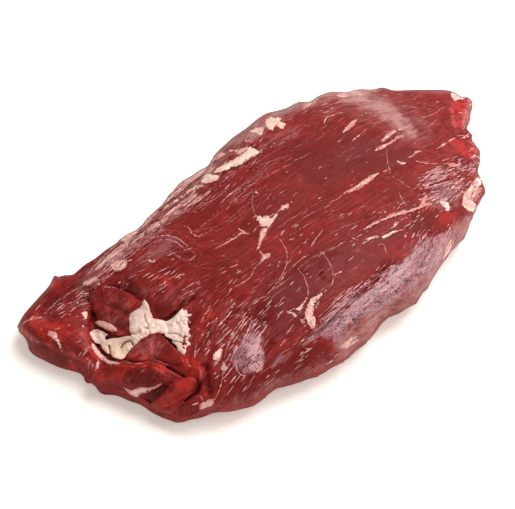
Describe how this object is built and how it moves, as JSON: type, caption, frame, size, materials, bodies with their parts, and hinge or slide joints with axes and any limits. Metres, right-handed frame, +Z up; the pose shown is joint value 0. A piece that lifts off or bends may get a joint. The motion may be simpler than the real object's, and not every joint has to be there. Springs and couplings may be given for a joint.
{
  "type": "beef flank",
  "caption": "Raw beef flank laid flat: a long slab of lean muscle with one thick rounded side, an open seam with lumps of fat at its cut end, and a thin broad end.",
  "frame": {"origin": "on the surface that the flank lies on, under the middle of its bounding box", "axes": "+X along the fibres, from the narrow cut end to the broad thin end; +Y towards the thin far side, away from the thick rounded side; +Z up"},
  "size_m": [0.342, 0.182, 0.043],
  "materials": {
    "muscle": "wet raw muscle, dark red, with fine fibres along it",
    "fat": "soft raw fat, cream to pale pink, with a waxy gloss"
  },
  "bodies": {
    "root": {"beef_flank": "muscle"}
  },
  "joints": []
}
